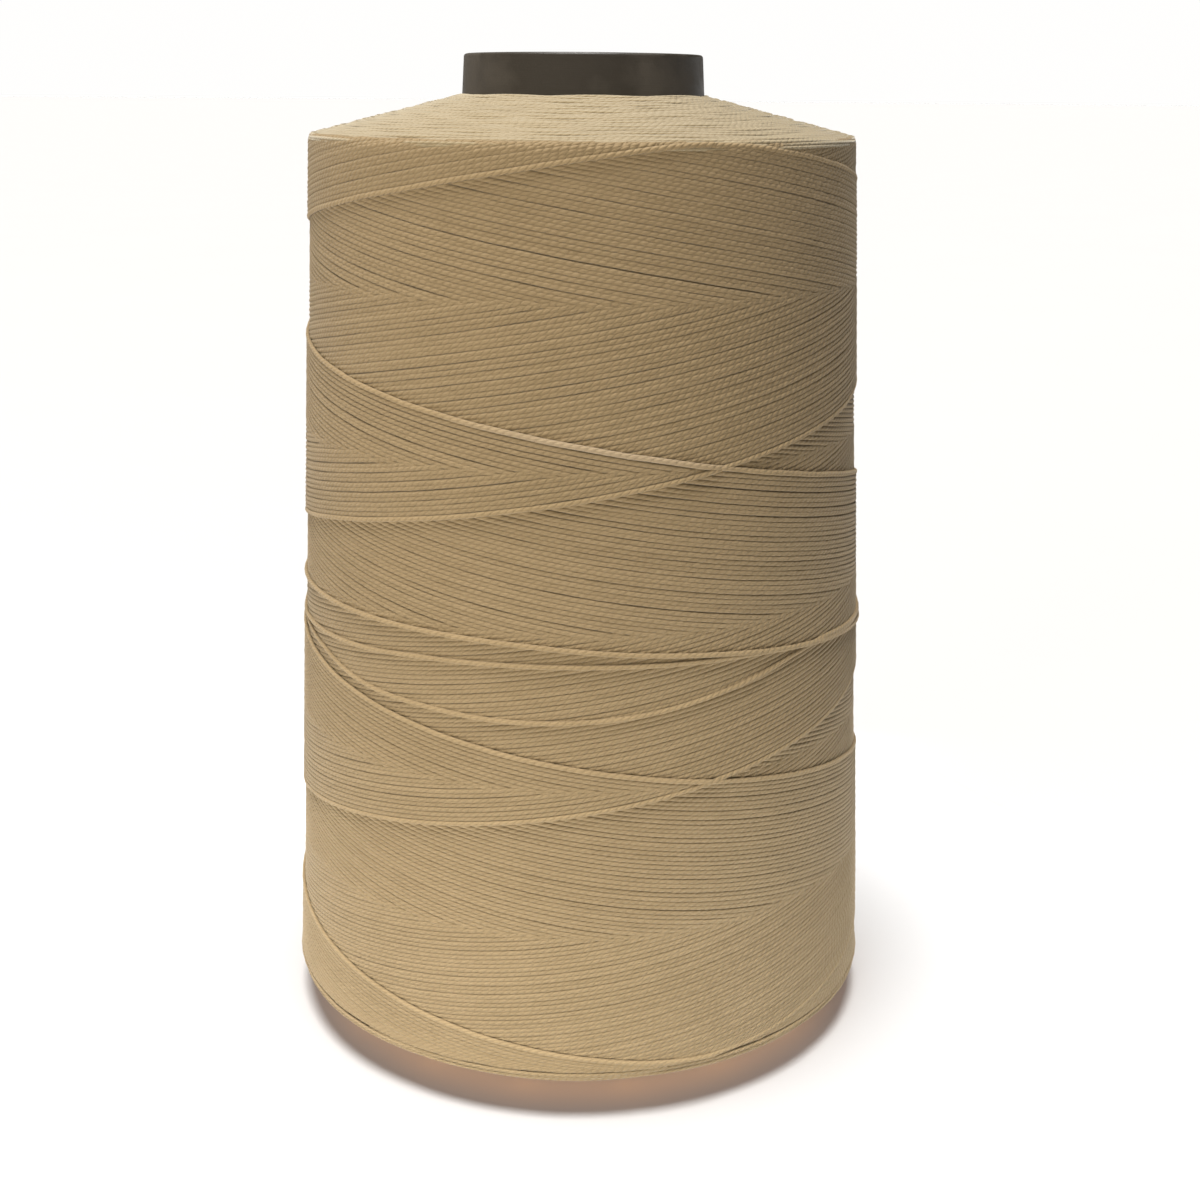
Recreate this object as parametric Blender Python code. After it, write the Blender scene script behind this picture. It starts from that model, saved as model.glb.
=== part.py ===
"""A cone of sewing thread: a tapered plastic tube, and the thread cross-wound on it.

Metres, +Z up. The cone stands on the wide end of its tube, with its origin at the
centre of that end.
"""

import math

import bmesh
import bpy

MM = 0.001

# Tube: a plain tapered shell, open at both ends.
TUBE_LENGTH = 170.0 * MM
TUBE_NOSE_RADIUS = 20.1 * MM
TUBE_TAPER_DEG = 3.5
TUBE_WALL = 2.0 * MM
TUBE_EDGE_ROUND = 0.5 * MM
TUBE_SIDES = 48

# Wound thread: where it lies on the tube, and its outer form.
WIND_BOTTOM = 6.6 * MM          # lowest outer edge above the surface the tube stands on
WIND_HEIGHT = 150.9 * MM        # from that edge up to the shoulder's rim
WIND_BOTTOM_RADIUS = 54.1 * MM  # over the newest strands
WIND_TOP_RADIUS = 46.5 * MM
SHOULDER_RISE = 6.1 * MM        # the shoulder climbs this much from its rim to the tube
BASE_DISH = 1.6 * MM            # the underside hollows this much from its edge to the tube
TOP_EDGE_ROUND = 1.6 * MM
BOTTOM_EDGE_ROUND = 1.4 * MM
SEAT_GAP = 0.3 * MM             # between the thread and the tube

# Winding: three turns for each stroke of the guide, up and down again.
TURNS_PER_STROKE = 3
COLUMNS = 36                    # points round one turn; a strand climbs a row at each
STROKE_LOW = 0.5 * MM           # where the strokes would meet, above the lowest edge
STROKE_HIGH = 152.7 * MM
FIRST_COLUMN_DEG = 5.0          # the first column, right of the middle of the front (-Y)
CROSSING_COLUMN = 2             # column and row of points at which the last falling strand
CROSSING_ROW = 72               # crosses the last rising one
LAYER_STEP = 0.42 * MM          # how far the newest strand stands up beside the oldest
EDGE_ROWS = 4                   # rows of points in each rounded edge


def clear_scene():
    for item in list(bpy.data.objects):
        bpy.data.objects.remove(item, do_unlink=True)


def plain_material(name, colour, roughness, metallic=0.0):
    material = bpy.data.materials.new(name)
    material.use_nodes = True
    shader = material.node_tree.nodes["Principled BSDF"]
    shader.inputs["Base Color"].default_value = (*colour, 1.0)
    shader.inputs["Roughness"].default_value = roughness
    shader.inputs["Metallic"].default_value = metallic
    return material


def finish_object(name, mesh, material, sharp_deg):
    mesh.materials.append(material)
    mesh.shade_smooth()
    mesh.set_sharp_from_angle(angle=math.radians(sharp_deg))
    piece = bpy.data.objects.new(name, mesh)
    bpy.context.collection.objects.link(piece)
    return piece


def tube_radius(z):
    """Outer radius of the tube at height z."""
    return TUBE_NOSE_RADIUS + (TUBE_LENGTH - z) * math.tan(math.radians(TUBE_TAPER_DEG))


def closed_rings(rings):
    """A mesh of rings of points, each joined to the next and the last to the first."""
    work = bmesh.new()
    levels = [[work.verts.new(point) for point in ring] for ring in rings]
    for level, following in zip(levels, levels[1:] + levels[:1]):
        for a, b, c, d in zip(level, level[1:] + level[:1],
                              following[1:] + following[:1], following):
            work.faces.new((a, b, c, d))
    return work


def turned_ring(radius, z, sides):
    """Points at equal angles round the axis, at one radius and height."""
    step = 2.0 * math.pi / sides
    return [(radius * math.cos(i * step), radius * math.sin(i * step), z) for i in range(sides)]


def make_tube(material):
    """The tube's outer wall going up and its inner wall coming down, with rounded ends."""
    outline = [(tube_radius(0.0), 0.0), (tube_radius(TUBE_LENGTH), TUBE_LENGTH)]
    outline += [(radius - TUBE_WALL, z) for radius, z in reversed(outline)]
    work = closed_rings([turned_ring(radius, z, TUBE_SIDES) for radius, z in outline])
    rims = [edge for edge in work.edges
            if abs(edge.verts[0].co.z - edge.verts[1].co.z) < TUBE_EDGE_ROUND]
    rims = [edge for edge in rims if abs(edge.verts[0].co.xy.length
                                         - edge.verts[1].co.xy.length) < 0.5 * TUBE_WALL]
    bmesh.ops.bevel(work, geom=rims, offset=TUBE_EDGE_ROUND, segments=2, affect="EDGES")
    mesh = bpy.data.meshes.new("tube")
    bmesh.ops.recalc_face_normals(work, faces=work.faces)
    work.to_mesh(mesh)
    work.free()
    return finish_object("tube", mesh, material, sharp_deg=40.0)


def side_radius(height):
    """Outer radius of the wound side, before its relief, at a height above its lowest edge."""
    along = height / WIND_HEIGHT
    return WIND_BOTTOM_RADIUS + (WIND_TOP_RADIUS - WIND_BOTTOM_RADIUS) * along


def layer_relief(column, row):
    """How far the surface is drawn in at a grid point, under the newest strands.

    The last falling strand runs down one row for each column, and the older ones lie
    below it, ever lower until they meet it again one turn on. The last rising strand
    runs up, and the older ones lie above it.
    """
    above = row - CROSSING_ROW
    beside = column - CROSSING_COLUMN
    falling_age = (-above - beside) % COLUMNS
    rising_age = (above - beside) % COLUMNS
    return LAYER_STEP * (falling_age + rising_age) / COLUMNS


def wound_ring(radius, height, row=None):
    """One ring of the wound form, with the relief of its crossing bands at a given row."""
    ring = []
    for column in range(COLUMNS):
        angle = math.radians(FIRST_COLUMN_DEG + 360.0 * column / COLUMNS)
        drawn_in = 0.0 if row is None else layer_relief(column, row)
        ring.append(((radius - drawn_in) * math.sin(angle),
                     -(radius - drawn_in) * math.cos(angle), WIND_BOTTOM + height))
    return ring


def make_wound_thread(material):
    """The wound form: underside, rounded edge, side with its crossing bands, shoulder, bore."""
    rows = TURNS_PER_STROKE * COLUMNS
    row_height = (STROKE_HIGH - STROKE_LOW) / rows
    rings = []

    # Underside and the rounded bottom edge.
    bore_low = WIND_BOTTOM + BASE_DISH
    rings.append(wound_ring(tube_radius(bore_low) + SEAT_GAP, BASE_DISH))
    rings.append(wound_ring(side_radius(0.0) - BOTTOM_EDGE_ROUND, 0.0))
    for k in range(1, EDGE_ROWS):
        turn = 0.5 * math.pi * k / EDGE_ROWS
        rings.append(wound_ring(
            side_radius(BOTTOM_EDGE_ROUND) - BOTTOM_EDGE_ROUND * (1.0 - math.sin(turn))
            - LAYER_STEP * math.sin(turn),
            BOTTOM_EDGE_ROUND * (1.0 - math.cos(turn))))

    # The side, one ring for each row that a strand climbs between two columns.
    for row in range(rows + 1):
        height = STROKE_LOW + row * row_height
        if BOTTOM_EDGE_ROUND <= height <= WIND_HEIGHT - TOP_EDGE_ROUND:
            rings.append(wound_ring(side_radius(height), height, row))

    # The rounded rim and the shoulder up to the tube.
    for k in range(1, EDGE_ROWS + 1):
        turn = 0.5 * math.pi * k / EDGE_ROWS
        rings.append(wound_ring(
            side_radius(WIND_HEIGHT) - LAYER_STEP * math.sin(turn)
            - TOP_EDGE_ROUND * (1.0 - math.cos(turn)),
            WIND_HEIGHT - TOP_EDGE_ROUND * (1.0 - math.sin(turn))))
    shoulder_top = WIND_HEIGHT + SHOULDER_RISE
    rings.append(wound_ring(tube_radius(WIND_BOTTOM + shoulder_top) + SEAT_GAP, shoulder_top))

    work = closed_rings(rings)
    bmesh.ops.recalc_face_normals(work, faces=work.faces)
    bmesh.ops.triangulate(work, faces=work.faces, quad_method="SHORT_EDGE")
    mesh = bpy.data.meshes.new("wound_thread")
    work.to_mesh(mesh)
    work.free()
    return finish_object("wound_thread", mesh, material, sharp_deg=50.0)


def main():
    clear_scene()
    make_tube(plain_material("tube_plastic", (0.075, 0.062, 0.054), 0.42))
    make_wound_thread(plain_material("thread", (0.44, 0.35, 0.24), 0.85))


main()
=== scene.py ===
"""The looks of a cone of sewing thread: wound strands, their core, the tube, and a plain stage.

Metres, +Z up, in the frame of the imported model. Heights on the thread are measured from
its lowest outer edge, and angles from the front (-Y), growing to the right.
"""

import math
import random
from typing import NamedTuple

import bpy
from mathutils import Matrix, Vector


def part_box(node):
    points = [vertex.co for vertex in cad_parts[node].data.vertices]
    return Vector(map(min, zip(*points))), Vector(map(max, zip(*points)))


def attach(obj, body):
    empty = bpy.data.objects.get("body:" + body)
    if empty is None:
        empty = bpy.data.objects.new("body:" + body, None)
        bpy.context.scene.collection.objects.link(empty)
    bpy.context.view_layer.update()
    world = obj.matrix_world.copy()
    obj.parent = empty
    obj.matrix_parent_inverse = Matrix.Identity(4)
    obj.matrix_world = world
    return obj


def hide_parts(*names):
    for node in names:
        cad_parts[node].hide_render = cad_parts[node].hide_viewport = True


bl_info = {
    "name": "Cone of thread",
    "version": (1, 0, 0),
    "blender": (4, 5, 0),
    "location": "3D View > Sidebar > Thread",
    "description": "Winds thread on a tapered tube, strand by strand, and lights it softly",
    "category": "Add Mesh",
}

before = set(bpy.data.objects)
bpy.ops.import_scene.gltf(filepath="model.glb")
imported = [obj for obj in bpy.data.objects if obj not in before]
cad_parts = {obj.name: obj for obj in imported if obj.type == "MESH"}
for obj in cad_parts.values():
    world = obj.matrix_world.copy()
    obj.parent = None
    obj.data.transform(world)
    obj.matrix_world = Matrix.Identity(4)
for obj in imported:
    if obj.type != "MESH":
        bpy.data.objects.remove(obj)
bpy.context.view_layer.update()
THREAD_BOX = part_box("wound_thread")
TUBE_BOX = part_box("tube")

MM = 0.001
TURN = 360.0
SEED = 11

TUBE_TAPER_DEG = 3.5
TUBE_WALL = 2.0 * MM
TUBE_EDGE_ROUND = 0.5 * MM

# Painted highlight: the newest strands are coloured this much paler than the rest, and
# between these two heights above the floor the falling one is palest.
NEWEST_HIGHLIGHT_TINT = (1.12, 1.12, 1.12)
HIGHLIGHT_BAND = (108.0 * MM, 117.0 * MM)

# The last wraps, laid on by hand. Columns: angle in degrees, growing turn after turn, and
# height in mm.
WRAP_TRACK = (
    (-180, 81.2), (-120, 73.2), (-61, 66.6), (-50, 64.6), (-40, 63.5), (-30, 63.1),
    (-15, 62.5), (0, 62.8), (15, 64.1), (35, 67.5), (45, 69.5), (55, 70.3), (65, 69.7),
    (90, 68.6), (120, 67.6), (180, 67.0), (240, 67.6), (290, 69.0), (317, 70.2),
    (330, 71.2), (360, 71.9), (395, 71.4), (405, 70.7), (420, 69.6), (450, 69.0),
    (540, 72.4), (610, 75.0), (640, 75.6), (690, 75.6), (710, 75.1), (730, 73.7),
    (745, 72.6), (760, 71.2), (780, 69.4), (810, 67.0), (850, 66.0), (870, 65.8),
)


class LampRing(NamedTuple):
    """Like lamps at equal angles round the cone, each aimed at a place on its own side.

    Places are metres out from the axis and up from the floor. The power is in watts.
    """

    name: str
    count: int
    first_deg: float
    out: float
    up: float
    aim_out: float
    aim_up: float
    width: float
    depth: float
    power: float
    colour: tuple


# A broad key from the left, small lamps that brighten the lowest strands, and a weak warm
# glow on the floor under the thread's edge.
LAMPS = (
    LampRing("soft_key", 1, -35.0, 1.2, 0.17, 0.0, 0.08, 0.6, 0.3, 19.0, (1.0, 0.975, 0.94)),
    LampRing("low_fill", 6, 0.0, 0.125, 0.009, 0.0, 0.03, 0.12, 0.012, 0.085,
             (0.92, 0.99, 1.10)),
    LampRing("under_glow", 16, 0.0, 0.046, 0.0056, 0.050, 0.0, 0.0185, 0.011, 0.0008,
             (1.0, 0.45, 0.12)),
)


# ---------------------------------------------------------------- settings

class WindingSettings(bpy.types.PropertyGroup):
    """Sizes of the wound form and of the strands on it."""

    height: bpy.props.FloatProperty(
        name="Height", description="From the lowest outer edge to the shoulder's rim",
        default=150.9 * MM, unit="LENGTH")
    bottom_radius: bpy.props.FloatProperty(
        name="Bottom radius", description="Over the newest strands, at the lowest edge",
        default=54.1 * MM, unit="LENGTH")
    top_radius: bpy.props.FloatProperty(
        name="Top radius", description="Over the newest strands, at the rim",
        default=46.5 * MM, unit="LENGTH")
    top_round: bpy.props.FloatProperty(
        name="Rim rounding", description="Radius of the rim's rounded edge",
        default=1.6 * MM, unit="LENGTH")
    bottom_round: bpy.props.FloatProperty(
        name="Bottom rounding", description="Radius of the rounded bottom edge",
        default=1.4 * MM, unit="LENGTH")
    dish: bpy.props.FloatProperty(
        name="Dish", description="How far the underside hollows towards the tube",
        default=1.6 * MM, unit="LENGTH")
    stroke_low: bpy.props.FloatProperty(
        name="Stroke low end", description="Height at which the strokes would meet below",
        default=0.5 * MM, unit="LENGTH")
    stroke_high: bpy.props.FloatProperty(
        name="Stroke high end", description="Height at which the strokes would meet above",
        default=152.7 * MM, unit="LENGTH")
    turns: bpy.props.IntProperty(
        name="Turns a stroke", description="Turns of the cone for each stroke of the guide",
        default=3)
    start_deg: bpy.props.FloatProperty(
        name="Turn-round angle", description="Where the newest strand turns back, at both ends",
        default=25.3)
    swing_deg: bpy.props.FloatProperty(
        name="Guide swing", description="How much the guide hurries past the start angle",
        default=3.4)
    laps: bpy.props.IntProperty(
        name="Laps", description="Laps, up and down again, that cover the whole surface once",
        default=64)
    strand_radius: bpy.props.FloatProperty(
        name="Strand radius", description="Half the width of a strand",
        default=0.47 * MM, unit="LENGTH")
    flatness: bpy.props.FloatProperty(
        name="Strand flatness", description="A wound strand's thickness against its width",
        default=0.76)
    layer_step: bpy.props.FloatProperty(
        name="Layer step", description="How far the newest strand stands up beside the oldest",
        default=0.42 * MM, unit="LENGTH")


class ColourSettings(bpy.types.PropertyGroup):
    """Colours of the thread and the tube."""

    thread: bpy.props.FloatVectorProperty(
        name="Thread", description="Main colour of the thread", subtype="COLOR",
        default=(0.163, 0.1145, 0.0580))
    # The deep colour is both painted shade in the plies' grooves and the darker end of the
    # thread's own fibres, dye and slubs.
    thread_deep: bpy.props.FloatVectorProperty(
        name="Thread, deep", description="Colour down in the grooves of the plies",
        subtype="COLOR", default=(0.115, 0.078, 0.036))
    # The core is coloured darker than the thread: painted shade between the strands.
    core: bpy.props.FloatVectorProperty(
        name="Core", description="Colour of the thread seen between strands",
        subtype="COLOR", default=(0.130, 0.089, 0.042))
    tube: bpy.props.FloatVectorProperty(
        name="Tube", description="Colour of the moulded tube", subtype="COLOR",
        default=(0.0168, 0.0130, 0.0083))
    floor: bpy.props.FloatVectorProperty(
        name="Floor", description="Colour of the floor and backdrop", subtype="COLOR",
        default=(0.33, 0.323, 0.315))


class CameraSettings(bpy.types.PropertyGroup):
    """The camera at the photograph's viewing angle."""

    distance: bpy.props.FloatProperty(
        name="Distance", description="From the cone's axis, along the floor",
        default=291.6 * MM, unit="LENGTH")
    height: bpy.props.FloatProperty(
        name="Height", description="Above the floor", default=164.2 * MM, unit="LENGTH")
    side: bpy.props.FloatProperty(
        name="Side step", description="To the right of the cone's axis",
        default=3.5 * MM, unit="LENGTH")
    pitch_deg: bpy.props.FloatProperty(
        name="Pitch", description="Degrees below level", default=17.17)
    roll_deg: bpy.props.FloatProperty(
        name="Roll", description="Degrees of roll", default=0.46)
    lens_mm: bpy.props.FloatProperty(
        name="Lens", description="Focal length on a 36 mm sensor", default=49.44)


# ---------------------------------------------------------------- shader maths

class Socket:
    """A shader socket that takes part in Python expressions."""

    def __init__(self, tree, socket):
        self.tree = tree
        self.socket = socket

    def _maths(self, operation, *values):
        return node(self.tree, "ShaderNodeMath", {"operation": operation}, values)

    def __add__(self, other):
        return self._maths("ADD", self, other)

    def __sub__(self, other):
        return self._maths("SUBTRACT", self, other)

    def __mul__(self, other):
        return self._maths("MULTIPLY", self, other)

    def __truediv__(self, other):
        return self._maths("DIVIDE", self, other)

    def __rsub__(self, other):
        return self._maths("SUBTRACT", other, self)

    def __pow__(self, other):
        return self._maths("POWER", self, other)

    __radd__ = __add__
    __rmul__ = __mul__

    def maths(self, operation, *others):
        """Any other operation of the Math node."""
        return self._maths(operation, self, *others)


def node(tree, kind, settings=None, values=(), output=0):
    """Adds a node, makes its settings, fills its sockets, and returns one of its outputs.

    settings go to the node itself. values is a list for the first sockets, or a dict of
    names or numbers to values or links.
    """
    made = tree.nodes.new(kind)
    for name, value in (settings or {}).items():
        if name == "stops":
            fill_ramp(made.color_ramp, value)
        else:
            setattr(made, name, value)
    pairs = values.items() if isinstance(values, dict) else enumerate(values)
    for name, value in pairs:
        if isinstance(value, Socket):
            tree.links.new(value.socket, made.inputs[name])
        else:
            made.inputs[name].default_value = value
    return Socket(tree, made.outputs[output])


def fill_ramp(ramp, stops):
    while len(ramp.elements) > len(stops):
        ramp.elements.remove(ramp.elements[-1])
    while len(ramp.elements) < len(stops):
        ramp.elements.new(1.0)
    for element, (place, colour) in zip(ramp.elements, stops):
        element.position = place
        element.color = colour


def mix_colours(tree, factor, first, second):
    """A colour between two, by a factor from 0 to 1."""
    values = {0: factor, 6: opaque(first), 7: opaque(second)}
    return node(tree, "ShaderNodeMix", {"data_type": "RGBA"}, values, output=2)


def opaque(colour):
    return colour if isinstance(colour, Socket) else (*colour[:3], 1.0)


def new_material(name, roughness, sheen=0.0, specular=0.5):
    """A material with its Principled shader, whose constants are set on its own sockets."""
    material = bpy.data.materials.new(name)
    material.use_nodes = True
    shader = material.node_tree.nodes["Principled BSDF"]
    shader.inputs["Roughness"].default_value = roughness
    shader.inputs["Specular IOR Level"].default_value = specular
    shader.inputs["Sheen Weight"].default_value = sheen
    shader.inputs["Sheen Roughness"].default_value = 0.5
    shader.inputs["Sheen Tint"].default_value = (1.0, 0.96, 0.84, 1.0)
    return material, material.node_tree, shader


def clamped(value):
    """Keeps a socket's number between 0 and 1."""
    return value.maths("MINIMUM", 1.0).maths("MAXIMUM", 0.0)


def bump(tree, height, distance):
    return node(tree, "ShaderNodeBump", values={"Height": height, "Distance": distance})


def strand_material(name, tint=(1.0, 1.0, 1.0), sheen=0.08, relief=1.0, highlight_band=None):
    """Spun thread of three plies: a twist along each strand, fine fibres, uneven dye, and painted
    shade in the grooves between the plies.

    tint scales the thread's colour, and relief the grooves between its plies and their
    painted shade. The band, if given, is a pair of heights between which a painted
    highlight makes the thread paler still.
    """
    plies = 3.0
    ply_lead = 3.8 * MM
    ply_height = 0.11 * MM
    ridge_fullness = 0.7
    groove_narrowness = 2.5
    fibre_height = 0.35
    fibre_scales = (900.0, 5.0)
    slub_scale = 160.0
    dye_scale = 42.0

    # The strand's own tone moves each pattern along by so much, so that no two match.
    ply_offset = 7.0
    fibre_offset = 40.0
    slub_offset = 90.0

    # Shares of the way from the light colour to the deep one. The grooves' share is painted shade;
    # the rest is the thread's own unevenness.
    middle = 0.5
    least_shade = 0.1
    groove_shade = 0.35
    fibre_shade = 0.4
    dye_shade = 0.5
    slub_shade = 0.4
    tone_shade = 0.25

    colours = bpy.context.scene.thread_colours
    material, tree, shader = new_material(name, roughness=0.82, sheen=sheen, specular=0.2)
    along = node(tree, "ShaderNodeAttribute", {"attribute_name": "along"}, output="Fac")
    tone = node(tree, "ShaderNodeAttribute", {"attribute_name": "tone"}, output="Fac")
    section = node(tree, "ShaderNodeAttribute", {"attribute_name": "section"}, output="Vector")
    across = node(tree, "ShaderNodeSeparateXYZ", values=[section], output="X")
    upward = node(tree, "ShaderNodeSeparateXYZ", values=[section], output="Y")
    around_strand = upward.maths("ARCTAN2", across) / math.tau
    place = node(tree, "ShaderNodeTexCoord", output="Object")

    # The plies lie side by side in a steep twist, with a groove between each two.
    phase = (along / ply_lead + tone * ply_offset + around_strand) * plies
    ridge = (phase * math.pi).maths("SINE").maths("ABSOLUTE")
    groove = (1.0 - ridge) ** groove_narrowness

    # Fibres run along the plies; slubs and dye vary slowly.
    fibre_place = node(tree, "ShaderNodeCombineXYZ", values=[
        along * fibre_scales[0], phase * fibre_scales[1], tone * fibre_offset])
    fibres = node(tree, "ShaderNodeTexNoise", values={
        "Vector": fibre_place, "Scale": 1.0, "Detail": 2.0, "Roughness": 0.6})
    dye = node(tree, "ShaderNodeTexNoise", values={
        "Vector": place, "Scale": dye_scale, "Detail": 2.0})
    slub = node(tree, "ShaderNodeTexNoise", {"noise_dimensions": "1D"}, {
        "W": along * slub_scale + tone * slub_offset, "Scale": 1.0, "Detail": 1.0})

    # Painted shade: the grooves between the plies are also coloured darker.
    shade = groove * (groove_shade * relief)
    for pattern, share in ((fibres, fibre_shade), (dye, dye_shade), (slub, slub_shade),
                           (tone, tone_shade)):
        shade = shade + (pattern - middle) * share
    light = [share * value for share, value in zip(tint, colours.thread)]
    deep = [share * value for share, value in zip(tint, colours.thread_deep)]
    colour = mix_colours(tree, clamped(shade + least_shade), light, deep)
    # Painted highlight: between the two heights the colour is mixed towards a paler one.
    if highlight_band:
        low, high = highlight_band
        fade = 3.0 * MM
        strength = 0.2
        brighter, whiter = 1.3, 0.12
        pale = [brighter * value + whiter for value in colours.thread]
        level = node(tree, "ShaderNodeSeparateXYZ", values=[place], output="Z")
        inside = clamped((level - low) / fade) * clamped((high - level) / fade)
        colour = mix_colours(tree, inside * strength, colour, pale)
    tree.links.new(colour.socket, shader.inputs["Base Color"])
    normal = bump(tree, ridge ** ridge_fullness + fibres * fibre_height, ply_height * relief)
    tree.links.new(normal.socket, shader.inputs["Normal"])
    return material


def core_material():
    """Older strands deep in the winding, as fine rings, coloured darker than the thread as painted
    shade between the strands.
    """
    ring_pitch = 0.8 * MM
    ring_height = 0.1 * MM
    mottle_scale = 300.0
    darkest = 0.7
    colours = bpy.context.scene.thread_colours
    material, tree, shader = new_material("thread_core", roughness=0.95, specular=0.1)
    place = node(tree, "ShaderNodeTexCoord", output="Object")
    height = node(tree, "ShaderNodeSeparateXYZ", values=[place], output="Z")
    rings = (height * (math.tau / ring_pitch)).maths("SINE")
    mottle = node(tree, "ShaderNodeTexNoise", values={"Vector": place, "Scale": mottle_scale})
    darker = [darkest * value for value in colours.core]
    colour = mix_colours(tree, mottle, colours.core, darker)
    tree.links.new(colour.socket, shader.inputs["Base Color"])
    normal = bump(tree, rings + mottle, ring_height)
    tree.links.new(normal.socket, shader.inputs["Normal"])
    return material


def tube_material():
    """Moulded plastic: satin, finely turned round its axis, a little scuffed."""
    turning_scale = (30.0, 30.0, 2600.0)
    grain_scale = 2400.0
    blotch_scale = 70.0
    scuff_from = 0.48
    scuff_steepness = 6.0
    scuff_wear, turned_wear = 0.55, 0.15
    brighter, whiter = 2.1, 0.01
    least_rough, scuff_rough, grain_rough = 0.44, 0.2, 0.1
    turned_relief, grain_relief = 0.6, 0.4
    relief = 0.03 * MM
    colours = bpy.context.scene.thread_colours
    material, tree, shader = new_material("tube_plastic", roughness=0.4, specular=0.3)
    place = node(tree, "ShaderNodeTexCoord", output="Object")
    stretched = node(tree, "ShaderNodeMapping", values={
        "Vector": place, "Scale": turning_scale})
    turned = node(tree, "ShaderNodeTexNoise", values={"Vector": stretched, "Detail": 3.0})
    grain = node(tree, "ShaderNodeTexNoise", values={
        "Vector": place, "Scale": grain_scale, "Detail": 2.0})
    blotches = node(tree, "ShaderNodeTexNoise", values={
        "Vector": place, "Scale": blotch_scale, "Detail": 4.0, "Roughness": 0.6})
    scuff = clamped((blotches - scuff_from) * scuff_steepness)
    worn = [brighter * value + whiter for value in colours.tube]
    wear = scuff * scuff_wear + turned * turned_wear
    colour = mix_colours(tree, wear, colours.tube, worn)
    tree.links.new(colour.socket, shader.inputs["Base Color"])
    rough = least_rough + scuff * scuff_rough + grain * grain_rough
    tree.links.new(rough.socket, shader.inputs["Roughness"])
    normal = bump(tree, turned * turned_relief + grain * grain_relief, relief)
    tree.links.new(normal.socket, shader.inputs["Normal"])
    return material


def floor_material():
    """A matt pale floor, very slightly uneven in tone."""
    patch_scale = 9.0
    darkest = 0.985
    colours = bpy.context.scene.thread_colours
    material, tree, shader = new_material("pale_floor", roughness=0.9, specular=0.0)
    place = node(tree, "ShaderNodeTexCoord", output="Object")
    patches = node(tree, "ShaderNodeTexNoise", values={"Vector": place, "Scale": patch_scale})
    darker = [darkest * value for value in colours.floor]
    colour = mix_colours(tree, patches, colours.floor, darker)
    tree.links.new(colour.socket, shader.inputs["Base Color"])
    return material


# ---------------------------------------------------------------- the wound form

def side_radius(height):
    """Radius over the newest strands, with both edges rounded."""
    size = bpy.context.scene.thread_winding
    along = height / size.height
    radius = size.bottom_radius + (size.top_radius - size.bottom_radius) * along
    into_top = (height - size.height) / size.top_round + 1.0
    into_bottom = 1.0 - height / size.bottom_round
    if into_top > 0.0:
        radius -= size.top_round * (1.0 - math.sqrt(max(0.0, 1.0 - into_top ** 2)))
    if into_bottom > 0.0:
        radius -= size.bottom_round * (1.0 - math.sqrt(max(0.0, 1.0 - into_bottom ** 2)))
    return radius


def tube_outer(z):
    """Outer radius of the tube at a height above the floor, from its own box."""
    low, high = TUBE_BOX
    return high.x - (z - low.z) * math.tan(math.radians(TUBE_TAPER_DEG))


def guide_angle(angle):
    """The angle that the guide would be at if it never hurried, in degrees."""
    size = bpy.context.scene.thread_winding
    return angle + size.swing_deg * math.sin(math.radians(angle - size.start_deg))


def strand_ages(angle, height):
    """Ages, 0 the newest and 1 the oldest, of the falling and the rising strand at a place.

    height is that of the stroke before its ends are rounded.
    """
    size = bpy.context.scene.thread_winding
    lead = (size.stroke_high - size.stroke_low) / size.turns
    turned = (size.start_deg - guide_angle(angle)) / TURN
    falling = (turned + (size.stroke_high - height) / lead) % 1.0
    rising = (turned + (height - size.stroke_low) / lead) % 1.0
    return falling, rising


def rounded_stroke(height):
    """The height of a strand whose stroke turns back in a smooth curve at each end."""
    size = bpy.context.scene.thread_winding
    top_curve = 2.5 * MM
    bottom_curve = 1.8 * MM
    middle = 0.5 * (size.stroke_low + size.stroke_high)
    if height > middle:
        return size.stroke_high - math.hypot(size.stroke_high - height, top_curve)
    return size.stroke_low + math.hypot(height - size.stroke_low, bottom_curve)


def wound_point(angle, height, inward=0.0):
    """A point on the side, drawn in from the newest strands by a distance."""
    radius = side_radius(height) - inward
    turn = math.radians(angle)
    return Vector((radius * math.sin(turn), -radius * math.cos(turn),
                   THREAD_BOX[0].z + height))


def ease(distance, span):
    """A smooth step from 0 to 1 over a span."""
    way = min(1.0, max(0.0, distance / span))
    return way * way * (3.0 - 2.0 * way)


def layer_depth(angle, height, ages):
    """How far layers of a summed age lie under the newest.

    Beyond the turn-round the strands are pressed level near both ends.
    """
    size = bpy.context.scene.thread_winding
    reach = 18.0 * MM
    from_deg, fade_in_deg = -10.0, 30.0
    to_deg, fade_out_deg = 150.0, 50.0
    from_end = min(height - size.stroke_low, size.stroke_high - height)
    beyond = (angle - size.start_deg + 0.5 * TURN) % TURN - 0.5 * TURN
    level = ease(beyond - from_deg, fade_in_deg) * ease(to_deg - beyond, fade_out_deg)
    level *= ease(reach - from_end, reach)
    return size.layer_step * (ages + (1.0 - ages) * level)


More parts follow.
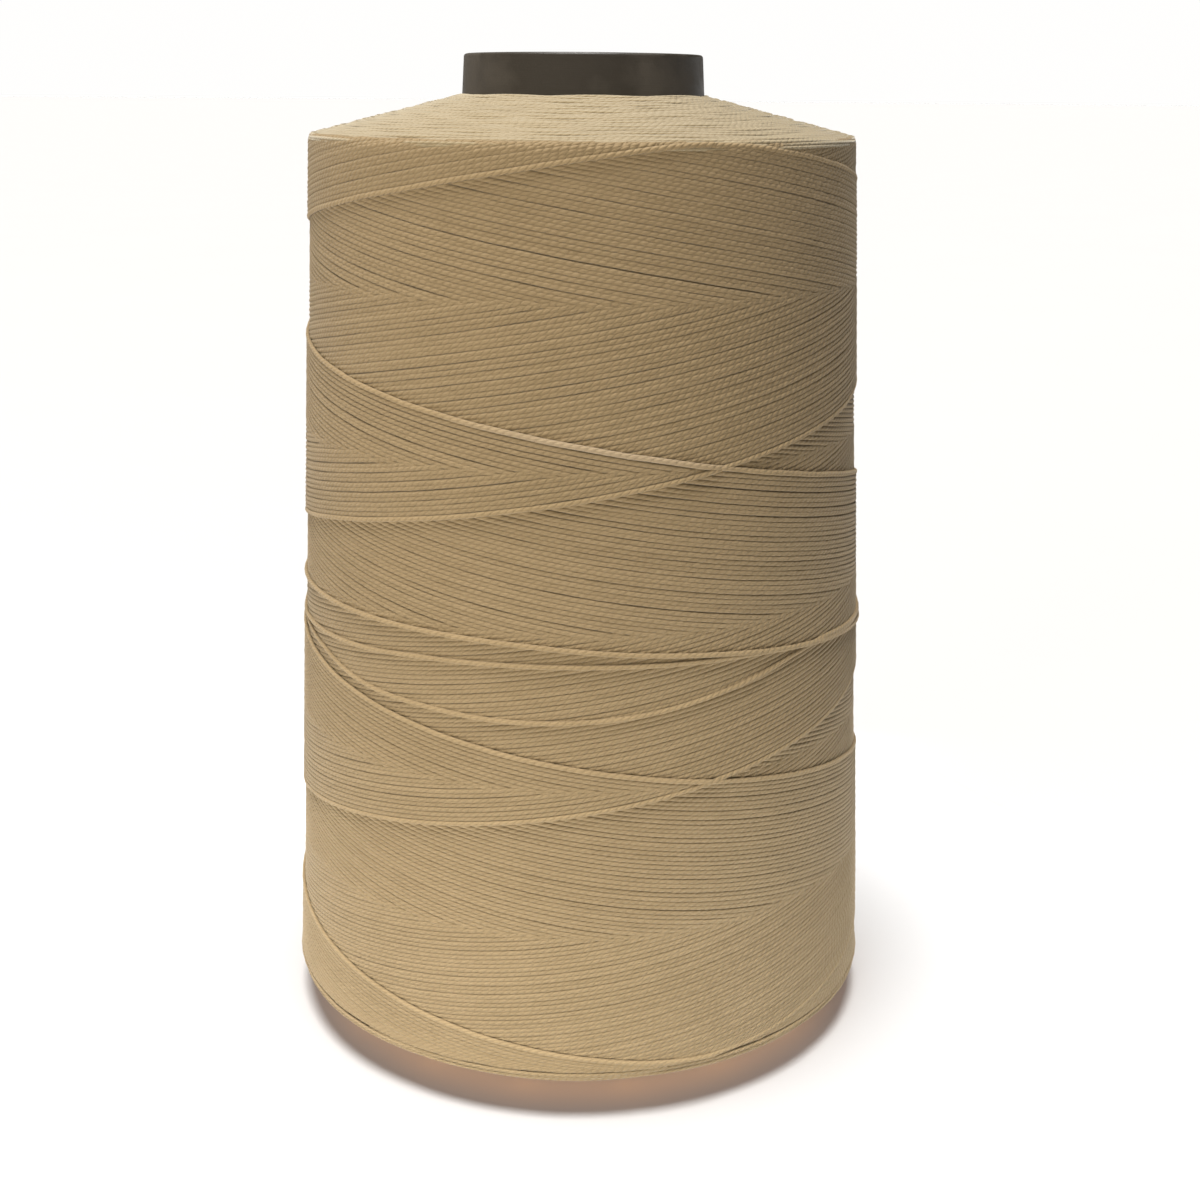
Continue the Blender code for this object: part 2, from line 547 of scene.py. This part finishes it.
class Lap:
    """One falling or rising stroke of the thread, with its own small unevenness.

    What is uneven along the axis is a share of the gap between two laps.
    """

    SHIFT = 0.08
    LONG_WAVES = (2, 3, 5)
    LONG_SWAY = (0.02, 0.06)
    SHORT_WAVES = (14.0, 30.0)
    SHORT_SWAY = (0.01, 0.05)
    LIFT = 0.03 * MM

    # One lap in three lies a little slack, from this height upwards.
    SLACK = (0.0, 0.0, 0.0, 0.0, -0.08, 0.08)
    SLACK_FROM = 100.0 * MM
    SLACK_FADE = 30.0 * MM

    # Up to this height only a share of the unevenness is left, because the strands lie
    # closer there.
    LOW_SHARE = 0.6
    LOW_TO = 50.0 * MM
    LOW_FADE = 50.0 * MM

    # The newest falling laps bow upwards a little about one angle, each less than the last.
    STRAY = 0.7 * MM
    STRAY_LAPS = 6.0
    STRAY_DEG = 350.0
    STRAY_SPREAD_DEG = 100.0

    # A strand dives by so many half thicknesses where it passes under the others.
    DIVE = 2.3

    def __init__(self, number, falling, chance, lift=0.0):
        size = bpy.context.scene.thread_winding
        self.size = size
        self.falling = falling
        self.age = number / size.laps
        self.start = size.start_deg - TURN * self.age
        self.lead = (size.stroke_high - size.stroke_low) / size.turns
        gain = self.lead / size.laps
        self.shift = chance.uniform(-self.SHIFT, self.SHIFT) * gain
        self.slack = chance.choice(self.SLACK) * gain
        self.sways = [
            (chance.choice(self.LONG_WAVES), chance.uniform(*self.LONG_SWAY) * gain),
            (chance.uniform(*self.SHORT_WAVES), chance.uniform(*self.SHORT_SWAY) * gain)]
        self.sways_from = chance.uniform(0.0, math.tau)
        self.lift = lift + chance.uniform(-self.LIFT, self.LIFT)
        self.stray = self.STRAY * math.exp(-number / self.STRAY_LAPS) if falling else 0.0

    def stroke(self, turned):
        """Height of the stroke, its ends not yet rounded, after turning so many degrees."""
        climbed = self.lead * (guide_angle(self.start + turned) - self.start) / TURN
        climbed = min(self.size.turns * self.lead, max(0.0, climbed))
        if self.falling:
            return self.size.stroke_high - climbed
        return self.size.stroke_low + climbed

    def other_age(self, turned):
        """Age of the strand of the other family at the same place."""
        ages = strand_ages(self.start + turned, self.stroke(turned))
        return ages[1] if self.falling else ages[0]

    def under(self, turned):
        """How far the strand is under the other family: 0 on top, 1 out of sight."""
        fade = 0.10
        return ease(self.age - self.other_age(turned), fade)

    def aside(self, turned, height):
        """How far the strand lies from its even place, along the axis."""
        high_up = ease(height - self.SLACK_FROM, self.SLACK_FADE)
        aside = self.shift + self.slack * high_up
        for waves, width in self.sways:
            aside += width * math.sin(math.radians(turned) * waves + self.sways_from)
        above_low = ease(height - self.LOW_TO, self.LOW_FADE)
        loose = self.LOW_SHARE + (1.0 - self.LOW_SHARE) * above_low
        bow = (self.start + turned - self.STRAY_DEG) / self.STRAY_SPREAD_DEG
        return loose * aside + self.stray * math.exp(-bow ** 2)

    def point(self, turned, under=None):
        """The strand's centre after turning so many degrees."""
        if under is None:
            under = self.under(turned)
        angle = self.start + turned
        stroke = self.stroke(turned)
        half = self.size.flatness * self.size.strand_radius
        inward = layer_depth(angle, stroke, self.age + self.other_age(turned))
        inward += half * (1.0 + self.DIVE * under) - self.lift
        height = rounded_stroke(stroke)
        return wound_point(angle, height + self.aside(turned, height), inward)

    def edge(self, seen, hidden):
        """The last angle in sight between one that is seen and one that is hidden."""
        halvings = 8
        for _ in range(halvings):
            middle = 0.5 * (seen + hidden)
            if self.under(middle) < 1.0:
                seen = middle
            else:
                hidden = middle
        return seen

    def runs(self, step_deg=4.0, tuck_deg=4.0):
        """The stretches in sight, each a list of points that ends tucked under."""
        runs = []
        run = []
        was_seen = True
        for step in range(int(self.size.turns * TURN / step_deg) + 1):
            turned = step * step_deg
            seen = self.under(turned) < 1.0
            if seen and not was_seen:
                edge = self.edge(turned, turned - step_deg)
                run = [self.point(edge - tuck_deg, 1.0), self.point(edge)]
            if seen:
                run.append(self.point(turned))
            if was_seen and not seen and run:
                edge = self.edge(turned - step_deg, turned)
                run += [self.point(edge), self.point(edge + tuck_deg, 1.0)]
                runs.append(run)
                run = []
            was_seen = seen
        if len(run) > 1:
            runs.append(run)
        return runs


def family_runs(falling, chance):
    """All the strands of one family but its newest, which is a piece of its own."""
    laps = bpy.context.scene.thread_winding.laps
    return [run for number in range(1, laps) for run in Lap(number, falling, chance).runs()]


def even_steps(outline, gap):
    """Points at equal steps along an outline, each with its outward direction."""
    steps = []
    rest = 0.0
    for (radius, height), (radius_2, height_2) in zip(outline, outline[1:]):
        length = math.hypot(radius_2 - radius, height_2 - height)
        out = (height_2 - height) / length
        up = (radius - radius_2) / length
        while rest <= length:
            share = rest / length
            steps.append((radius + (radius_2 - radius) * share,
                          height + (height_2 - height) * share, out, up))
            rest += gap
        rest -= length
    return steps


def edge_relief(angle, height):
    """How far the layers lie under the newest at an end of the winding, their step smoothed."""
    spread_deg = (-18.0, -11.0, -4.0, 4.0, 11.0, 18.0)
    ages = [sum(strand_ages(angle + beside, height)) for beside in spread_deg]
    return layer_depth(angle, height, sum(ages) / len(ages))


def turning_runs(outline, spacing, chance):
    """Strands that turn back on an end of the winding: rings of arcs that dive at both ends."""
    size = bpy.context.scene.thread_winding
    lead = (size.stroke_high - size.stroke_low) / size.turns
    curve = 2.5 * MM
    arcs = 9
    reach = 8
    step_deg = 4.4
    sinking = 0.16

    # The play of each arc: of its middle, its lift, and its slide and slant, which are
    # shares of the spacing.
    play_deg = 5.0
    lift_play = 0.04 * MM
    slide_play = 0.15
    slant_play = 0.14

    runs = []
    for radius, height, out, up in even_steps(outline, spacing):
        first = chance.uniform(0.0, TURN)
        for arc in range(arcs):
            middle = first + TURN * arc / arcs + chance.uniform(-play_deg, play_deg)
            lift = chance.uniform(-lift_play, lift_play)
            slide = chance.uniform(-slide_play, slide_play) * spacing
            slant = chance.uniform(-slant_play, slant_play) * spacing
            run = []
            for step in range(-reach, reach + 1):
                angle = middle + step * step_deg
                drop = math.hypot(lead * step * step_deg / TURN, curve) - curve
                sink = size.flatness * size.strand_radius + sinking * drop - lift
                aside = slide + slant * step / reach
                turn = math.radians(angle)
                ring = radius - out * sink - up * aside
                ring -= max(0.0, out) ** 2 * edge_relief(angle, height)
                run.append(Vector((ring * math.sin(turn), -ring * math.cos(turn),
                                   THREAD_BOX[0].z + height - up * sink + out * aside)))
            runs.append(run)
    return runs


def rounded_corner(radius, height, edge, first_deg, last_deg, steps=5):
    """Points of a rounded edge, whose middle is given; 0 degrees points out and 90 up."""
    turns = [math.radians(first_deg + (last_deg - first_deg) * k / steps)
             for k in range(steps + 1)]
    return [(radius + edge * math.cos(t), height + edge * math.sin(t)) for t in turns]


def shoulder_outline():
    """The rim and the conical shoulder, from the side up to the tube."""
    size = bpy.context.scene.thread_winding
    edge = size.top_round
    low_z = THREAD_BOX[0].z
    top = THREAD_BOX[1].z - low_z
    inner = tube_outer(THREAD_BOX[1].z) + size.strand_radius
    corner = rounded_corner(size.top_radius - edge, size.height - edge, edge,
                            first_deg=20.0, last_deg=75.0)
    return corner + [(inner, top)]


def underside_outline():
    """The rounded lower edge and the dished underside, from the side in to the tube."""
    size = bpy.context.scene.thread_winding
    edge = size.bottom_round
    inner = tube_outer(THREAD_BOX[0].z + size.dish) + size.strand_radius
    corner = rounded_corner(size.bottom_radius - edge, edge, edge,
                            first_deg=22.0, last_deg=-90.0)
    return [(inner, size.dish)] + corner[::-1]


def wrap_run():
    """The last loose wraps, one continuous strand laid over the finished winding."""
    step_deg = 4.0
    tuck_deg = 24.0
    tuck_depth = 1.3 * MM
    first_lift = -0.06 * MM
    lift_each_turn = 0.07 * MM
    spread = 3
    first, last = WRAP_TRACK[0][0], WRAP_TRACK[-1][0]
    places = []
    angle = first
    while angle <= last:
        height = track_height(angle)
        ages = strand_ages(angle, height)
        places.append((angle, height, layer_depth(angle, height, sum(ages))))
        angle += step_deg
    run = []
    for index, (angle, height, depth) in enumerate(places):
        near = [place[2] for place in places[max(0, index - spread):index + spread + 1]]
        depth = min(depth, sum(near) / len(near))
        turns_before = (angle - first) / TURN
        lift = lift_each_turn * turns_before + first_lift
        ends = min(angle - first, last - angle) / tuck_deg
        lift -= tuck_depth * (1.0 - min(1.0, ends))
        run.append(wound_point(angle, height, depth - lift))
    return run


def track_height(angle):
    """Height of the last wraps at an angle, by a smooth curve through the track's rows."""
    rows = [(turned, height * MM) for turned, height in WRAP_TRACK]
    index = max(1, min(len(rows) - 1, sum(1 for row in rows if row[0] <= angle)))
    slopes = []
    for k in (index - 1, index):
        before, after = rows[max(0, k - 1)], rows[min(len(rows) - 1, k + 1)]
        slopes.append((after[1] - before[1]) / (after[0] - before[0]))
    (turned_0, height_0), (turned_1, height_1) = rows[index - 1], rows[index]
    span = turned_1 - turned_0
    t = (angle - turned_0) / span
    return ((2 * t ** 3 - 3 * t ** 2 + 1) * height_0 + (t ** 3 - 2 * t ** 2 + t) * span * slopes[0]
            + (3 * t ** 2 - 2 * t ** 3) * height_1 + (t ** 3 - t ** 2) * span * slopes[1])


# ---------------------------------------------------------------- making pieces

def deselect_all():
    if bpy.context.object and bpy.context.object.mode != "OBJECT":
        bpy.ops.object.mode_set(mode="OBJECT")
    bpy.ops.object.select_all(action="DESELECT")


def only(piece):
    """Selects one object alone and makes it active."""
    deselect_all()
    piece.select_set(True)
    bpy.context.view_layer.objects.active = piece


def finish_piece(piece, material):
    piece.data.materials.clear()
    piece.data.materials.append(material)
    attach(piece, "root")
    return piece


def strand_tool(radius, flat, sides=8):
    """A node group that makes strands of paths, and marks each point's place on its strand.

    flat scales their section away from the cone's axis and along it.
    """
    group = bpy.data.node_groups.new("strand", "GeometryNodeTree")
    group.interface.new_socket("Paths", in_out="INPUT", socket_type="NodeSocketGeometry")
    group.interface.new_socket("Strands", in_out="OUTPUT", socket_type="NodeSocketGeometry")
    store = "GeometryNodeStoreNamedAttribute"
    paths = Socket(group, group.nodes.new("NodeGroupInput").outputs[0])
    upright = node(group, "GeometryNodeSetCurveNormal", {"mode": "Z_UP"}, {"Curve": paths})
    length = node(group, "GeometryNodeSplineParameter", output="Length")
    along = node(group, store, {"data_type": "FLOAT", "domain": "POINT"},
                 {"Geometry": upright, "Name": "along", "Value": length})
    which = node(group, "GeometryNodeCurveOfPoint", output="Curve Index")
    chance = node(group, "FunctionNodeRandomValue", {"data_type": "FLOAT"},
                  {"ID": which, "Seed": SEED}, output=1)
    toned = node(group, store, {"data_type": "FLOAT", "domain": "POINT"},
                 {"Geometry": along, "Name": "tone", "Value": chance})
    circle = node(group, "GeometryNodeCurvePrimitiveCircle",
                  values={"Resolution": sides, "Radius": radius})
    place = node(group, "GeometryNodeInputPosition")
    unit = node(group, "ShaderNodeVectorMath", {"operation": "SCALE"},
                {"Vector": place, "Scale": 1.0 / radius})
    section = node(group, store, {"data_type": "FLOAT_VECTOR", "domain": "POINT"},
                   {"Geometry": circle, "Name": "section", "Value": unit})
    oval = node(group, "GeometryNodeTransform",
                values={"Geometry": section, "Scale": (*flat, 1.0)})
    tubes = node(group, "GeometryNodeCurveToMesh",
                 values={"Curve": toned, "Profile Curve": oval, "Fill Caps": True})
    smooth = node(group, "GeometryNodeSetShadeSmooth", values={"Geometry": tubes})
    out = group.nodes.new("NodeGroupOutput")
    group.links.new(smooth.socket, out.inputs[0])
    return group


def make_strands(name, runs, radius, material, flat):
    """Strands along the given runs of points, as one mesh."""
    curve = bpy.data.curves.new(name, "CURVE")
    curve.dimensions = "3D"
    for run in runs:
        spline = curve.splines.new("POLY")
        spline.points.add(len(run) - 1)
        spline.points.foreach_set("co", [value for point in run for value in (*point, 1.0)])
    piece = bpy.data.objects.new(name, curve)
    bpy.context.collection.objects.link(piece)
    only(piece)
    tool = piece.modifiers.new("strand", "NODES")
    tool.node_group = strand_tool(radius, flat)
    bpy.ops.object.convert(target="MESH")
    piece = bpy.context.object
    return finish_piece(piece, material)


def turned_piece(name, outline, sides):
    """A closed turned shell: its outline's (radius, height) points, extruded ring by ring."""
    deselect_all()
    radius, height = outline[0]
    bpy.ops.mesh.primitive_circle_add(vertices=sides, radius=radius, location=(0, 0, height))
    piece = bpy.context.object
    piece.name = piece.data.name = name
    bpy.ops.object.mode_set(mode="EDIT")
    for following, level in outline[1:]:
        bpy.ops.mesh.extrude_region_move(
            TRANSFORM_OT_translate={"value": (0, 0, level - height)})
        grow = following / radius
        bpy.ops.transform.resize(value=(grow, grow, 1.0), center_override=(0, 0, level))
        radius, height = following, level
    bpy.ops.mesh.select_all(action="DESELECT")
    bpy.ops.mesh.select_mode(type="EDGE")
    bpy.ops.mesh.select_non_manifold()
    bpy.ops.mesh.bridge_edge_loops()
    bpy.ops.mesh.select_all(action="SELECT")
    bpy.ops.mesh.normals_make_consistent(inside=False)
    bpy.ops.object.mode_set(mode="OBJECT")
    bpy.ops.object.transform_apply(location=True, rotation=True, scale=True)
    return piece


def sink_under_strands(piece, depth):
    """Draws the core's side in, so that it lies just under the strands' middle all over."""
    size = bpy.context.scene.thread_winding
    bore_wall_within = 0.5 * (size.top_radius + TUBE_BOX[1].x)
    for vertex in piece.data.vertices:
        place = vertex.co
        if place.xy.length < bore_wall_within:
            continue
        height = place.z - THREAD_BOX[0].z
        angle = math.degrees(math.atan2(place.x, -place.y))
        inward = depth + layer_depth(angle, height, sum(strand_ages(angle, height)))
        sunk = (place.xy.length - inward) / place.xy.length
        place.x *= sunk
        place.y *= sunk


# ---------------------------------------------------------------- operators

class THREAD_OT_core(bpy.types.Operator):
    """Turn the core of older thread that shows between the strands"""

    bl_idname = "thread.core"
    bl_label = "Thread core"

    def execute(self, context):
        size = context.scene.thread_winding
        depth = 0.45 * MM
        bore_gap = 0.35 * MM
        sides = 144
        rows = 150
        low = THREAD_BOX[0].z
        dish_z = low + size.dish + depth
        shoulder_z = THREAD_BOX[1].z - depth
        outline = [(tube_outer(dish_z) + bore_gap, dish_z)]
        for row in range(rows + 1):
            height = depth + (size.height - 2.0 * depth) * row / rows
            outline.append((side_radius(height), low + height))
        outline.append((tube_outer(shoulder_z) + bore_gap, shoulder_z))
        piece = turned_piece("thread_core", outline, sides)
        sink_under_strands(piece, depth)
        bpy.ops.object.shade_smooth_by_angle(angle=math.radians(50.0))
        finish_piece(piece, core_material())
        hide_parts("wound_thread")
        return {"FINISHED"}


class THREAD_OT_side_strands(bpy.types.Operator):
    """Wind the rising and the falling strands of the side"""

    bl_idname = "thread.side_strands"
    bl_label = "Side strands"

    def execute(self, context):
        size = context.scene.thread_winding
        chance = random.Random(SEED)
        rising_lift = 0.05 * MM
        falling_lift = 0.09 * MM
        flat = (size.flatness, 1.0)
        material = strand_material("spun_thread")
        for name, falling in (("falling_strands", True), ("rising_strands", False)):
            make_strands(name, family_runs(falling, chance), size.strand_radius, material, flat)
        # Both newest strands are coloured paler than the rest: painted highlight.
        rising = Lap(0, False, chance, rising_lift).runs()
        make_strands("newest_rising_strand", rising, size.strand_radius,
                     strand_material("spun_thread_newest", NEWEST_HIGHLIGHT_TINT), flat)
        falling = Lap(0, True, chance, falling_lift).runs()
        make_strands("newest_falling_strand", falling, size.strand_radius,
                     strand_material("spun_thread_highlit", NEWEST_HIGHLIGHT_TINT, highlight_band=HIGHLIGHT_BAND), flat)
        return {"FINISHED"}


class THREAD_OT_end_strands(bpy.types.Operator):
    """Wind the strands that turn back on the shoulder and on the underside"""

    bl_idname = "thread.end_strands"
    bl_label = "End strands"

    def execute(self, context):
        size = context.scene.thread_winding
        chance = random.Random(SEED + 1)
        for name, outline, spacing, tint, sheen, relief in (
            # The shoulder's tint is painted sheen: it colours the thread there paler and greyer
            # than on the side.
            ("shoulder_strands", shoulder_outline(), 0.62 * MM, (1.04, 1.12, 1.18), 0.32, 0.55),
            ("underside_strands", underside_outline(), 0.79 * MM, (1.0, 1.0, 1.0), 0.08, 1.0),
        ):
            runs = turning_runs(outline, spacing, chance)
            make_strands(name, runs, size.strand_radius,
                         strand_material(name, tint, sheen, relief), (1.0, size.flatness))
        return {"FINISHED"}


class THREAD_OT_wraps(bpy.types.Operator):
    """Lay the last wraps over the side"""

    bl_idname = "thread.wraps"
    bl_label = "Last wraps"

    def execute(self, context):
        tightness = 0.96
        flat = (0.9, 1.0)
        radius = tightness * context.scene.thread_winding.strand_radius
        # The wraps are coloured as pale as the newest strands: painted highlight.
        material = strand_material("spun_thread_wraps", NEWEST_HIGHLIGHT_TINT)
        make_strands("last_wraps", [wrap_run()], radius, material, flat)
        return {"FINISHED"}


class THREAD_OT_tube(bpy.types.Operator):
    """Turn the tapered plastic tube"""

    bl_idname = "thread.tube"
    bl_label = "Tube"

    def execute(self, context):
        low, high = TUBE_BOX
        foot = tube_outer(low.z)
        nose = tube_outer(high.z)
        edge = TUBE_EDGE_ROUND
        quarter = 90.0
        arc_steps = 4
        sides = 144
        outline = []

        # Columns: radius and height of the corner, first angle of its arc, and the
        # directions in which the arc's middle lies from it.
        corners = (
            (foot, low.z, 270.0, -1, 1),
            (nose, high.z, 0.0, -1, -1),
            (nose - TUBE_WALL, high.z, 90.0, 1, -1),
            (foot - TUBE_WALL, low.z, 180.0, 1, 1),
        )
        for radius, z, first, side, up in corners:
            for step in range(arc_steps + 1):
                turn = math.radians(first + quarter * step / arc_steps)
                outline.append((radius + side * edge + edge * math.cos(turn),
                                z + up * edge + edge * math.sin(turn)))
        piece = turned_piece("tube_shell", outline, sides)
        bpy.ops.object.shade_smooth_by_angle(angle=math.radians(35.0))
        finish_piece(piece, tube_material())
        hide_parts("tube")
        return {"FINISHED"}


class THREAD_OT_stage(bpy.types.Operator):
    """Lay the pale floor, hang the soft lights, and set the camera"""

    bl_idname = "thread.stage"
    bl_label = "Stage"

    def execute(self, context):
        floor_radius = 30.0
        deselect_all()
        bpy.ops.mesh.primitive_circle_add(vertices=96, radius=floor_radius, fill_type="NGON")
        floor = context.object
        floor.name = "floor"
        floor.data.materials.append(floor_material())

        set_world(context)
        hang_overhead(context)
        for ring in LAMPS:
            hang_lamps(ring)
        set_camera(context)
        context.scene.view_settings.view_transform = "Standard"
        return {"FINISHED"}


def hang_overhead(context):
    """The large soft light above, which stands a little to the front and the left."""
    towards = Vector((-0.04, -0.06, 1.0))
    bpy.ops.object.light_add(type="SUN")
    overhead = context.object
    overhead.name = "overhead"
    overhead.data.energy = 9.6
    overhead.data.angle = math.radians(26.0)
    overhead.rotation_euler = (-towards).to_track_quat("-Z", "Y").to_euler()


def around(azimuth_deg, distance, height):
    """A place round the cone: its angle from the front (-Y), growing to the right."""
    azimuth = math.radians(azimuth_deg)
    return Vector((distance * math.sin(azimuth), -distance * math.cos(azimuth), height))


def hang_lamps(ring):
    """Rectangular lamps, out of the camera's sight and of reflections."""
    for index in range(ring.count):
        azimuth = ring.first_deg + TURN * index / ring.count
        place = around(azimuth, ring.out, ring.up)
        aim = around(azimuth, ring.aim_out, ring.aim_up) - place
        bpy.ops.object.light_add(type="AREA", location=place)
        light = bpy.context.object
        light.name = ring.name
        light.data.shape = "RECTANGLE"
        light.data.size = ring.width
        light.data.size_y = ring.depth
        light.data.energy = ring.power
        light.data.color = ring.colour
        light.visible_camera = False
        light.visible_glossy = False
        light.rotation_euler = aim.to_track_quat("-Z", "Y").to_euler()


def set_world(context):
    """A pale room: white at the horizon, where the floor ends, and dimmer above."""
    world = bpy.data.worlds.new("studio")
    world.use_nodes = True
    tree = world.node_tree
    place = node(tree, "ShaderNodeTexCoord", output="Generated")
    upward = node(tree, "ShaderNodeSeparateXYZ", values=[place], output="Z")
    white = (1.0, 0.995, 0.985, 1.0)
    dim = (0.03, 0.03, 0.03, 1.0)
    white_to, dim_from = 0.10, 0.18
    stops = ((0.0, white), (white_to, white), (dim_from, dim), (1.0, dim))
    tone = node(tree, "ShaderNodeValToRGB", {"stops": stops}, {"Fac": upward})
    tree.links.new(tone.socket, tree.nodes["Background"].inputs["Color"])
    context.scene.world = world


def set_camera(context):
    shot = context.scene.thread_camera
    bpy.ops.object.camera_add(location=(shot.side, -shot.distance, shot.height))
    camera = context.object
    camera.data.lens = shot.lens_mm
    camera.data.sensor_width = 36.0
    camera.data.clip_start = 0.01
    camera.rotation_mode = "XYZ"
    camera.rotation_euler = (math.radians(90.0 - shot.pitch_deg), 0.0, 0.0)
    camera.rotation_euler.rotate_axis("Z", math.radians(shot.roll_deg))
    context.scene.camera = camera


class THREAD_PT_panel(bpy.types.Panel):
    """Lists the steps in the order they are made"""

    bl_idname = "THREAD_PT_panel"
    bl_label = "Cone of thread"
    bl_space_type = "VIEW_3D"
    bl_region_type = "UI"
    bl_category = "Thread"

    def draw(self, context):
        for step in STEPS:
            self.layout.operator(step.bl_idname)
        for group in ("thread_winding", "thread_colours", "thread_camera"):
            box = self.layout.box()
            settings = getattr(context.scene, group)
            for name in settings.bl_rna.properties.keys():
                if name not in ("rna_type", "name"):
                    box.prop(settings, name)


GROUPS = (WindingSettings, ColourSettings, CameraSettings)
STEPS = (THREAD_OT_tube, THREAD_OT_core, THREAD_OT_side_strands, THREAD_OT_end_strands,
         THREAD_OT_wraps, THREAD_OT_stage)


def register():
    for item in (*GROUPS, *STEPS, THREAD_PT_panel):
        bpy.utils.register_class(item)
    scene = bpy.types.Scene
    scene.thread_winding = bpy.props.PointerProperty(type=WindingSettings)
    scene.thread_colours = bpy.props.PointerProperty(type=ColourSettings)
    scene.thread_camera = bpy.props.PointerProperty(type=CameraSettings)


def unregister():
    for name in ("thread_winding", "thread_colours", "thread_camera"):
        delattr(bpy.types.Scene, name)
    for item in reversed((*GROUPS, *STEPS, THREAD_PT_panel)):
        bpy.utils.unregister_class(item)


def main():
    register()
    bpy.ops.thread.tube()
    bpy.ops.thread.core()
    bpy.ops.thread.side_strands()
    bpy.ops.thread.end_strands()
    bpy.ops.thread.wraps()
    bpy.ops.thread.stage()


if __name__ == "__main__":
    main()
